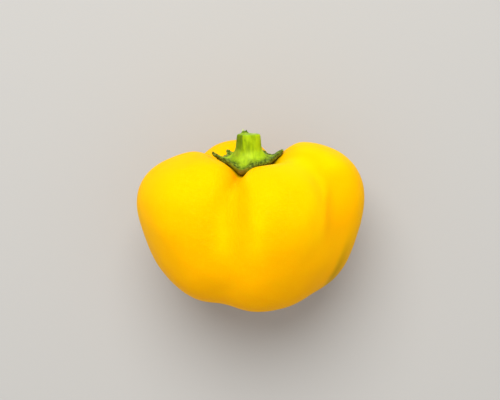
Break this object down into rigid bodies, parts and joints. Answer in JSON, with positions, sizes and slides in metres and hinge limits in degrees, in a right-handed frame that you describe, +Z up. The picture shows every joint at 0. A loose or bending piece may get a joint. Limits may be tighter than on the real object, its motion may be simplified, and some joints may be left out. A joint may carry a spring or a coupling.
{
  "type": "bell pepper",
  "caption": "Whole yellow bell pepper lying on its side, with deep lobes and a short green cut stem on a ragged calyx.",
  "frame": {"origin": "on the surface that the pepper lies on, under the middle of its bounding box", "axes": "+Z up, +Y towards the stem end, +X across the pepper, to the right when it is seen from above with the stem away from the viewer"},
  "size_m": [0.0944, 0.0744, 0.0811],
  "materials": {
    "pepper_flesh": "smooth satin skin, golden yellow, amber in its creases and towards the blossom end",
    "pepper_stem": "ribbed green stem, matte, with a paler cut end and a darker rough calyx edge"
  },
  "bodies": {
    "root": {"fruit": "pepper_flesh", "stem_and_calyx": "pepper_stem"}
  },
  "joints": []
}
